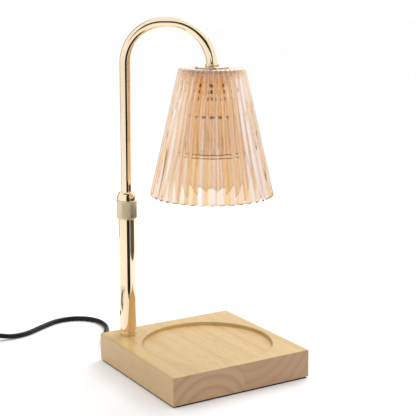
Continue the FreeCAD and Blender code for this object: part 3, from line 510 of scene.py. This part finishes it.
gold_look = gold_material("polished_champagne_gold", 0.03)
brushed_look = gold_material("brushed_champagne_gold", 0.16)
satin_look = gold_material("satin_champagne_gold", 0.34, SATIN_CHAMPAGNE)
zinc_look, zinc_tree, zinc_shader = shader_parts("bright_zinc")
zinc_shader.inputs["Base Color"].default_value = (0.62, 0.62, 0.60, 1)
zinc_shader.inputs["Metallic"].default_value = 1.0
zinc_place = zinc_tree.nodes.new("ShaderNodeTexCoord")
zinc_cloud = noise_node(zinc_tree, zinc_place.outputs["Object"], 200.0, 3.0)
zinc_haze = math_node(zinc_tree, "MULTIPLY_ADD", zinc_cloud, 0.25, 0.18)
zinc_tree.links.new(zinc_haze, zinc_shader.inputs["Roughness"])


def lathe(name, profile, centre, material, body, cad):
    """Spins a closed profile of radius and height round the upright line through centre."""
    spun = bmesh.new()
    corners = [spun.verts.new((radius, 0, height)) for radius, height in profile]
    edges = [spun.edges.new(pair) for pair in zip(corners, corners[1:] + corners[:1])]
    bmesh.ops.spin(spun, geom=corners + edges, axis=(0, 0, 1), cent=(0, 0, 0), angle=2 * math.pi,
                   steps=TURN_STEPS, use_merge=True)
    bmesh.ops.remove_doubles(spun, verts=spun.verts, dist=WELD_DISTANCE)
    bmesh.ops.recalc_face_normals(spun, faces=spun.faces)
    bmesh.ops.translate(spun, vec=(centre[0], centre[1], 0), verts=spun.verts)
    show(spun, name, material, body, cad, smooth=28)


def rounded(profile, radius, segments=4):
    """The profile with every corner rounded off by up to radius."""
    result = []
    count = len(profile)
    for index, corner in enumerate(profile):
        corner = Vector(corner)
        before, after = Vector(profile[index - 1]), Vector(profile[(index + 1) % count])
        cut = min(radius, (before - corner).length * 0.45, (after - corner).length * 0.45)
        start = corner + (before - corner).normalized() * cut
        end = corner + (after - corner).normalized() * cut
        for step in range(segments + 1):
            share = step / segments
            point = start * (1 - share) ** 2 + corner * 2 * share * (1 - share) + end * share ** 2
            result.append(tuple(point))
    return result


def ring_profile(node, bore):
    """The closed profile of a plain ring that is as wide and high as a round CAD node."""
    low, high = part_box(node)
    outer = (high.x - low.x) / 2
    return [(bore, low.z), (outer, low.z), (outer, high.z), (bore, high.z)]


foot_low, foot_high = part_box("foot_ring")
foot_top = foot_low.z + FOOT_LEDGE
lathe("foot_ring_turned", rounded([
    (FOOT_BORE, foot_low.z), (POST_RADIUS, foot_low.z), (POST_RADIUS, foot_top - 0.45 * MM),
    (POST_RADIUS - 0.5 * MM, foot_top), (POST_BORE - 0.05 * MM, foot_top),
    (POST_BORE - 0.05 * MM, foot_high.z), (FOOT_BORE, foot_high.z)], 0.15 * MM),
    POST, gold_look, "root", ["foot_ring"])
lathe("lower_tube_drawn", rounded(ring_profile("lower_tube", POST_BORE), 0.25 * MM), POST, gold_look,
      "root", ["lower_tube"])
smooth_copies(("post_nipple", "post_washer", "post_nut"), zinc_look, "root")
smooth_copy("base_wire", cord_look, "root")


# The lock ring: turned brass with a fine straight knurl between two plain edges, plated satin.
# Turning it grips the sliding arm.
KNURL_TEETH = 72
KNURL_DEPTH = 0.22 * MM


def open_edges(items):
    """Those of the items that are edges with a single face."""
    return [item for item in items if isinstance(item, bmesh.types.BMEdge) and len(item.link_faces) == 1]


def next_ring(mesh, edges):
    """Draws a ring of edges out into a band of faces, and gives the edges of its far end."""
    return open_edges(bmesh.ops.extrude_edge_only(mesh, edges=edges)["geom"])


def knurled_ring():
    """Levels from the foot up and back inside: height in mm, radius, and the knurl's share there."""
    low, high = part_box("lock_ring")
    radius = (high.x - low.x) / 2
    bore = POST_RADIUS + 0.05 * MM
    levels = [(0.0, radius - 0.9 * MM, 0), (0.35, radius - 0.35 * MM, 0), (0.9, radius, 0),
              (1.3, radius, 0), (1.5, radius, 1), (15.2, radius, 1), (15.4, radius, 0),
              (15.9, radius, 0), (16.2, radius - 0.3 * MM, 0), (16.2, bore, 0), (0.0, bore, 0)]
    ring = bmesh.new()
    bmesh.ops.create_circle(ring, segments=KNURL_TEETH * 4, radius=radius, cap_ends=False)
    first = list(ring.edges)
    edges = first
    for index, (lift, reach, knurl) in enumerate(levels):
        if index:
            edges = next_ring(ring, edges)
        for vert in {vert for edge in edges for vert in edge.verts}:
            angle = math.atan2(vert.co.y, vert.co.x)
            tooth = (angle / (2 * math.pi) * KNURL_TEETH) % 1.0
            groove = KNURL_DEPTH * (1 - abs(2 * tooth - 1)) * knurl
            vert.co = ((reach - groove) * math.cos(angle), (reach - groove) * math.sin(angle),
                       low.z + lift * MM)
    bmesh.ops.bridge_loops(ring, edges=first + edges)
    bmesh.ops.recalc_face_normals(ring, faces=ring.faces)
    bmesh.ops.translate(ring, vec=POST, verts=ring.verts)
    show(ring, "lock_ring_knurled", satin_look, "lock_ring", ["lock_ring"], smooth=35)


knurled_ring()


# The collet: a polished dome on the tube's end, in which the arm slides and turns. Its split
# sleeve is out of sight in the tube and drawn whole.
COLLET_BORE = 4.55 * MM
SLEEVE_RADIUS = 6.05 * MM
DOME_HEIGHT = 7.0 * MM
DOME_BAND = 0.9 * MM
DOME_TOP_RADIUS = 6.0 * MM
DOME_STEPS = 12


def collet_dome():
    low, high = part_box("collet")
    radius = (high.x - low.x) / 2
    base = high.z - DOME_HEIGHT
    curve = []
    for step in range(DOME_STEPS + 1):
        share = step / DOME_STEPS
        curve.append((DOME_TOP_RADIUS + (radius - DOME_TOP_RADIUS) * math.cos(share * math.pi / 2) ** 0.8,
                      base + DOME_BAND + (DOME_HEIGHT - DOME_BAND) * share))
    profile = [(COLLET_BORE, low.z), (SLEEVE_RADIUS, low.z), (SLEEVE_RADIUS, base), (radius, base)]
    profile += curve + [(COLLET_BORE, high.z)]
    lathe("collet_dome", profile, POST, gold_look, "collet", ["collet"])


collet_dome()


# The arm: one gold-plated tube that slides in the post and is bent over into an arch, which the
# shade hangs from. A nylon bush on its lower end keeps it straight.
ARM_REACH = 75.5 * MM
ARM_BEARING = math.radians(-47.1)
SHADE_AXIS = POST + Vector((math.cos(ARM_BEARING), math.sin(ARM_BEARING), 0)) * ARM_REACH
ARM_RADIUS = 4.5 * MM
ARM_WALL = 0.7 * MM
ARCH_RADIUS = 35.0 * MM
ARCH_CENTRE = 258.9 * MM
ARCH_STEPS = 28


def bent_arm():
    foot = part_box("arm_tube")[0].z
    outward = (SHADE_AXIS - POST).normalized()
    sideways = Vector((0, 0, 1)).cross(outward)
    tube = bmesh.new()
    bmesh.ops.create_circle(tube, segments=48, radius=ARM_RADIUS, cap_ends=False)
    bmesh.ops.translate(tube, vec=(POST.x, POST.y, foot), verts=tube.verts)
    edges = list(tube.edges)

    def straight(edges, step):
        far = next_ring(tube, edges)
        bmesh.ops.translate(tube, vec=step, verts=list({vert for edge in far for vert in edge.verts}))
        return far

    def bend(edges, centre):
        verts = list({vert for edge in edges for vert in edge.verts})
        spun = bmesh.ops.spin(tube, geom=verts + edges, axis=sideways, cent=centre, angle=math.pi / 2,
                              steps=ARCH_STEPS)
        return open_edges(spun["geom_last"])

    edges = straight(edges, Vector((0, 0, ARCH_CENTRE - foot)))
    edges = bend(edges, Vector((POST.x, POST.y, ARCH_CENTRE)) + outward * ARCH_RADIUS)
    edges = straight(edges, outward * (ARM_REACH - 2 * ARCH_RADIUS))
    bend(edges, Vector((SHADE_AXIS.x, SHADE_AXIS.y, ARCH_CENTRE)) - outward * ARCH_RADIUS)
    bmesh.ops.recalc_face_normals(tube, faces=tube.faces)
    bmesh.ops.solidify(tube, geom=tube.faces, thickness=ARM_WALL)
    bmesh.ops.recalc_face_normals(tube, faces=tube.faces)
    show(tube, "arm_tube_bent", gold_look, "arm", ["arm_tube"], smooth=40)


bent_arm()
nylon_look = plain_material("natural_nylon", (0.78, 0.76, 0.70), 0.5)
smooth_copy("guide_bush", nylon_look, "arm")


# The shade: pressed glass, a cone with forty round flutes outside and a smooth inside, closed and
# flat on top, with an amber luster fired on that shows pink in the highlights. Pale pink streaks of
# painted highlight run down the cone.
FLUTES = 40
FLUTE_POINTS = 10
SHADE_LOW, SHADE_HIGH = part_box("glass_shade")
SHADE_RIM = 51.8 * MM
SHADE_TOP = 27.4 * MM
SHADE_WALL = 3.0 * MM
FLUTE_DEPTH = 2.08 * MM
HOLE_RADIUS = 5.5 * MM
FLAT_TOP_RADIUS = 14.5 * MM
AMBER = (0.89, 0.635, 0.37)
PINK_LUSTER_AND_HIGHLIGHT = (0.89, 0.795, 0.755)
CROWN_PEACH = (0.93, 0.62, 0.40)
CROWN_DEPTH = 8 * MM
CROWN_BLEND = 6 * MM
LUSTER_THICKNESS = 450


def vector_node(tree, operation, first, second=(0, 0, 0)):
    node = tree.nodes.new("ShaderNodeVectorMath")
    node.operation = operation
    tree.links.new(first, node.inputs[0])
    node.inputs[1].default_value = second
    return node.outputs["Vector"]


def limit_node(tree, value):
    """The value held between nought and one."""
    return math_node(tree, "MINIMUM", math_node(tree, "MAXIMUM", value, 0.0), 1.0)


def luster_material():
    """Pale pink streaks of painted highlight down the cone, and a thicker, more deeply stained top."""
    material, tree, shader = shader_parts("amber_luster_glass")
    shader.inputs["Roughness"].default_value = 0.02
    shader.inputs["IOR"].default_value = 1.47
    place = tree.nodes.new("ShaderNodeTexCoord").outputs["Object"]
    away = vector_node(tree, "SUBTRACT", place, (SHADE_AXIS.x, SHADE_AXIS.y, 0))
    around = vector_node(tree, "NORMALIZE", vector_node(tree, "MULTIPLY", away, (1, 1, 0)))
    # Painted highlights: pale pink streaks run down the cone in the base colour, set by the angle around
    # it.
    streak = noise_node(tree, around, 9.0, 3.0)
    streak = limit_node(tree, math_node(tree, "MULTIPLY_ADD", streak, 7.0, -3.0))
    tone = mix_node(tree, streak, AMBER, PINK_LUSTER_AND_HIGHLIGHT)
    crown_start = (CROWN_DEPTH - SHADE_HIGH.z) / CROWN_BLEND
    crown = math_node(tree, "MULTIPLY_ADD", split_node(tree, place)["Z"], 1 / CROWN_BLEND, crown_start)
    crown = limit_node(tree, crown)
    tone = mix_node(tree, crown, tone, CROWN_PEACH)
    tree.links.new(tone, shader.inputs["Base Color"])
    clearness = math_node(tree, "MULTIPLY_ADD", crown, -0.35, 1.0)
    tree.links.new(clearness, shader.inputs["Transmission Weight"])
    shader.inputs["Coat Weight"].default_value = 0.55
    shader.inputs["Coat IOR"].default_value = 1.9
    shader.inputs["Coat Roughness"].default_value = 0.02
    shader.inputs["Thin Film Thickness"].default_value = LUSTER_THICKNESS
    shader.inputs["Thin Film IOR"].default_value = 1.55
    return material


glass_look = luster_material()


def fluted_shade():
    """Rows of the wall, up the outside and down the inside, each joined to the next by faces.

    A row has its height, its radius, the share of the flutes' depth and the scallop in mm.
    """
    height = SHADE_HIGH.z - SHADE_LOW.z
    slope = (SHADE_RIM - SHADE_TOP) / height
    glass = bmesh.new()
    bmesh.ops.create_circle(glass, segments=FLUTES * FLUTE_POINTS, radius=SHADE_RIM, cap_ends=False)
    inner_rim = SHADE_RIM - FLUTE_DEPTH - SHADE_WALL
    inner_top = inner_rim - slope * (height - SHADE_WALL)
    rows = []
    for lift, back, deep, scallop in ((0.0, -0.7, 0.8, 0.9), (0.6, -0.1, 1.0, 0.4), (1.6, 0.0, 1.0, 0.0)):
        rows.append((lift * MM, SHADE_RIM - slope * lift * MM + back * MM, deep, scallop))
    for share in (0.25, 0.5, 0.75):
        rows.append((height * share, SHADE_RIM - slope * height * share, 1.0 - 0.45 * share, 0))
    for drop, back, deep in ((1.8, 0.0, 0.55), (0.9, 0.2, 0.5), (0.35, 0.65, 0.4),
                             (0.08, 1.2, 0.25), (0.0, 1.9, 0.0)):
        rows.append((height - drop * MM, SHADE_TOP + slope * drop * MM - back * MM, deep, 0))
    under = height - SHADE_WALL
    plain = [(height, FLAT_TOP_RADIUS), (height, HOLE_RADIUS), (under, HOLE_RADIUS),
             (under, inner_top - 2.0 * MM), (under - 0.5 * MM, inner_top - 0.6 * MM),
             (under - 2.0 * MM, inner_top), (height * 0.5, inner_rim - slope * height * 0.5),
             (1.6 * MM, inner_rim), (0.5 * MM, inner_rim + 0.5 * MM), (0.1 * MM, inner_rim + 1.3 * MM)]
    rows += [(lift, reach, 0, 0) for lift, reach in plain]
    first = list(glass.edges)
    edges = first
    for index, (lift, reach, deep, scallop) in enumerate(rows):
        if index:
            edges = next_ring(glass, edges)
        for vert in {vert for edge in edges for vert in edge.verts}:
            angle = math.atan2(vert.co.y, vert.co.x)
            across = 2 * ((angle / (2 * math.pi) * FLUTES) % 1.0) - 1
            valley = FLUTE_DEPTH * deep * across * across
            vert.co = ((reach - valley) * math.cos(angle), (reach - valley) * math.sin(angle),
                       lift + scallop * MM * across * across)
    bmesh.ops.bridge_loops(glass, edges=first + edges)
    bmesh.ops.recalc_face_normals(glass, faces=glass.faces)
    bmesh.ops.translate(glass, vec=(SHADE_AXIS.x, SHADE_AXIS.y, SHADE_LOW.z), verts=glass.verts)
    show(glass, "fluted_shade", glass_look, "arm", ["glass_shade"], smooth=38)


fluted_shade()


# The fittings: a small ring and a disc above the glass, a gasket and a stepped cap under it, all
# on one hollow threaded rod; then the pierced cup that hides the lamp holder.
ROD_BORE = 3.75 * MM
END_RING_BORE = 4.6 * MM
lathe("arm_end_ring_turned", rounded(ring_profile("arm_end_ring", END_RING_BORE), 0.5 * MM),
      SHADE_AXIS, gold_look, "arm", ["arm_end_ring"])
lathe("shade_disc", rounded(ring_profile("shade_washer", ROD_BORE), 0.4 * MM),
      SHADE_AXIS, gold_look, "arm", ["shade_washer"])
silicone_look = plain_material("clear_silicone", (0.72, 0.70, 0.66), 0.5)
smooth_copy("shade_gasket", silicone_look, "arm")
smooth_copy("clamp_cap", brushed_look, "arm")
smooth_copy("holder_cup", brushed_look, "arm", angle=45)
smooth_copies(("shade_rod", "rod_nut", "socket_strap", "socket_screw_near", "socket_screw_far"),
              zinc_look, "arm")
ceramic_look = plain_material("white_ceramic", (0.86, 0.84, 0.79), 0.55)
smooth_copy("lamp_socket", ceramic_look, "arm")


# The bulb: a reflector bulb with a mirrored glass cone, a clear front lens, a ceramic back with
# two headed pins, and a small clear capsule inside. Two thin dark rings mark the cone's rim.
MIRROR_DULL = (0.75, 0.73, 0.69)
MIRROR_PAINTED_GLINT = (1.0, 1.0, 1.0)
RIM_LINE_BROWN = (0.16, 0.12, 0.09)
RIM_LINES_MIDDLE = 1.8 * MM
RIM_LINES_APART = 2.8 * MM
RIM_LINE_HALF = 0.35 * MM
mirror_look, mirror_tree, mirror_shader = shader_parts("faceted_mirror_coating")
mirror_shader.inputs["Metallic"].default_value = 1.0
mirror_shader.inputs["Roughness"].default_value = 0.06
mirror_place = mirror_tree.nodes.new("ShaderNodeTexCoord").outputs["Object"]
facet_stretch = mirror_tree.nodes.new("ShaderNodeMapping")
facet_stretch.inputs["Scale"].default_value = (1, 1, 0.25)
mirror_tree.links.new(mirror_place, facet_stretch.inputs["Vector"])
facets = mirror_tree.nodes.new("ShaderNodeTexVoronoi")
facets.feature = "SMOOTH_F1"
facets.inputs["Smoothness"].default_value = 0.7
facets.inputs["Scale"].default_value = 300
mirror_tree.links.new(facet_stretch.outputs["Vector"], facets.inputs["Vector"])
add_bump(mirror_tree, mirror_shader, facets.outputs["Distance"], 0.5, 1.2 * MM)
# Painted glints: each facet's colour lies between dull and white, so some facets shine brighter.
painted_glint = split_node(mirror_tree, facets.outputs["Color"])["X"]
mirror_tone = mix_node(mirror_tree, painted_glint, MIRROR_DULL, MIRROR_PAINTED_GLINT)
rim_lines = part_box("bulb_reflector")[0].z + RIM_LINES_MIDDLE
from_lines = math_node(mirror_tree, "SUBTRACT", split_node(mirror_tree, mirror_place)["Z"], rim_lines)
from_lines = math_node(mirror_tree, "ABSOLUTE", from_lines)
from_lines = math_node(mirror_tree, "SUBTRACT", from_lines, RIM_LINES_APART / 2)
from_lines = math_node(mirror_tree, "ABSOLUTE", from_lines)
rim_line = math_node(mirror_tree, "LESS_THAN", from_lines, RIM_LINE_HALF)
mirror_tone = mix_node(mirror_tree, rim_line, mirror_tone, RIM_LINE_BROWN)
mirror_tree.links.new(mirror_tone, mirror_shader.inputs["Base Color"])
smooth_copy("bulb_reflector", mirror_look, "bulb", angle=60)
clear_look = plain_material("clear_glass", (0.97, 0.97, 0.95), 0.02)
clear_look.node_tree.nodes["Principled BSDF"].inputs["Transmission Weight"].default_value = 1.0
smooth_copy("bulb_lens", clear_look, "bulb")
smooth_copy("bulb_capsule", clear_look, "bulb", angle=50)
smooth_copy("bulb_base", ceramic_look, "bulb")
smooth_copies(("bulb_pin_left", "bulb_pin_right"), zinc_look, "bulb")


# The dimmer: two halves of black textured plastic with a round dial, and the plug's brass
# blades; the spare cord is held by a strap.
dimmer_look = plain_material("textured_black_plastic", (0.016, 0.016, 0.017), 0.5)
dimmer_pieces = smooth_copies(("dimmer_case", "dimmer_lid"), dimmer_look, "root")
dial = smooth_copy("dimmer_dial", dimmer_look, "dial")
brass_look = plain_material("bare_brass", (0.70, 0.52, 0.25), 0.25, 1.0)
blades = smooth_copies(("plug_blade_left", "plug_blade_right"), brass_look, "root")
tie_look = plain_material("black_strap", (0.015, 0.015, 0.016), 0.8)
tie = smooth_copy("coil_tie", tie_look, "root")

# Mirrors show none of the spare cord and its fittings, as they lie far behind the lamp.
for piece in [tail, tie, dial, *dimmer_pieces, *blades, *plug_pieces]:
    piece.visible_glossy = False
